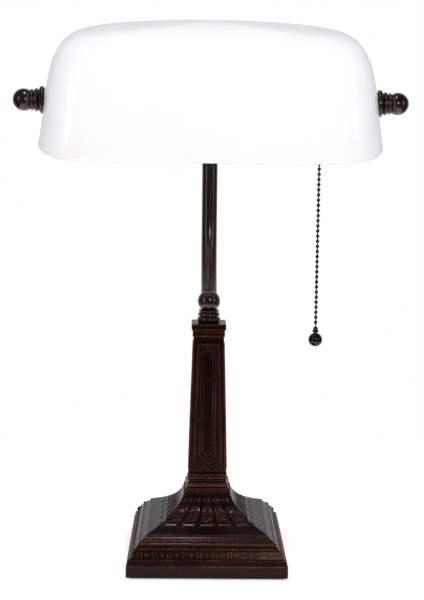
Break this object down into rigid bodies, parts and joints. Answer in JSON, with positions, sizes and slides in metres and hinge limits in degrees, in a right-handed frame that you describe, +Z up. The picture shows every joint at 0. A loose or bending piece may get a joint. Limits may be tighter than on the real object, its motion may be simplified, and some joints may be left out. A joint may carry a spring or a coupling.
{
  "type": "banker desk lamp",
  "caption": "Desk lamp with a square cast base and column, a bent arm, a tilting opal glass shade held by two end knobs, and a bead pull chain.",
  "frame": {"origin": "middle of the felt pad's underside, on the surface that the lamp stands on", "axes": "+Z up, +X to the lamp's right along the knobs' axis, the front faces -Y"},
  "size_m": [0.2578, 0.123, 0.3564],
  "materials": {
    "cast_bronze": "dark oil-rubbed bronze on a casting, rubbed to copper along its ridges",
    "smooth_bronze": "smooth dark bronze, glossy",
    "gunmetal": "black nickel bead chain",
    "opal_glass": "glossy white opal glass",
    "frosted_glass": "frosted white bulb glass",
    "brass": "plain brass",
    "steel": "zinc-plated steel",
    "iron_weight": "rough cast iron",
    "felt": "dark felt",
    "fibre": "pressed fibre washer",
    "phenolic": "moulded phenolic",
    "card": "waxed insulating card",
    "black_plastic": "black plastic",
    "aluminium": "bulb cap"
  },
  "bodies": {
    "root": {"base_casting": "cast_bronze", "felt_pad": "felt", "base_weight": "iron_weight", "lock_washer": "steel", "rod_nut": "steel", "cord_bushing": "black_plastic", "column_casting": "cast_bronze", "threaded_rod": "steel", "collar": "smooth_bronze", "arm_ball": "smooth_bronze", "arm_nipple": "steel", "arm_tube": "smooth_bronze", "arm_top_nipple": "steel", "arm_top_nut": "brass", "shade_bracket": "smooth_bronze", "stud_right": "steel", "stud_nut_right": "steel", "inner_washer_right": "fibre", "outer_washer_right": "fibre", "stud_left": "steel", "stud_nut_left": "steel", "inner_washer_left": "fibre", "outer_washer_left": "fibre", "socket_cap": "brass", "socket_shell": "brass", "insulating_sleeve": "card", "screw_shell": "brass", "socket_nipple": "steel", "socket_nut": "steel", "socket_body": "phenolic", "centre_contact": "brass", "terminal_screw_hot": "brass", "terminal_screw_neutral": "steel", "lever_pin": "steel", "return_spring": "steel", "chain_guide": "smooth_bronze", "lamp_lead": "black_plastic"},
    "shade": {"glass_shade": "opal_glass"},
    "knob_right": {"knob_right": "smooth_bronze"},
    "knob_left": {"knob_left": "smooth_bronze"},
    "switch_lever": {"switch_lever": "brass"},
    "chain_slider": {"chain_stem": "gunmetal"},
    "chain_gimbal": {"chain_link": "gunmetal"},
    "chain": {"pull_chain": "gunmetal", "chain_bell": "gunmetal", "chain_ball": "gunmetal"},
    "bulb": {"bulb_glass": "frosted_glass", "bulb_cap": "aluminium", "bulb_contact": "brass"}
  },
  "joints": [
    {"name": "shade_tilt", "type": "hinge", "parent": "root", "child": "shade", "pos_m": [0, 0, 0.3043], "axis": [1, 0, 0], "range_deg": [-36, 30]},
    {"name": "knob_right_turn", "type": "hinge", "parent": "root", "child": "knob_right", "pos_m": [0.1185, 0, 0.3043], "axis": [1, 0, 0], "continuous": true},
    {"name": "knob_left_turn", "type": "hinge", "parent": "root", "child": "knob_left", "pos_m": [-0.1185, 0, 0.3043], "axis": [-1, 0, 0], "continuous": true},
    {"name": "bulb_turn", "type": "hinge", "parent": "root", "child": "bulb", "pos_m": [0.03, 0, 0.3043], "axis": [1, 0, 0], "continuous": true},
    {"name": "chain_pull", "type": "slide", "parent": "root", "child": "chain_slider", "axis": [0, 0, -1], "range_m": [0, 0.005], "stiffness_N_per_m": 300, "springref_m": -0.002},
    {"name": "switch_lever_turn", "type": "hinge", "parent": "root", "child": "switch_lever", "pos_m": [0.0594, 0, 0.2953], "axis": [0, 1, 0], "range_deg": [0, 24]},
    {"name": "chain_swing_fore_aft", "type": "hinge", "parent": "chain_slider", "child": "chain_gimbal", "pos_m": [0.0714, 0, 0.27841], "axis": [1, 0, 0], "range_deg": [-20, 20]},
    {"name": "chain_swing_sideways", "type": "hinge", "parent": "chain_gimbal", "child": "chain", "pos_m": [0.0714, 0, 0.27502], "axis": [0, 1, 0], "range_deg": [-20, 20]}
  ],
  "couplings": [
    {"joint": "switch_lever_turn", "follows": "chain_pull", "rad_per_m": 83.333}
  ]
}
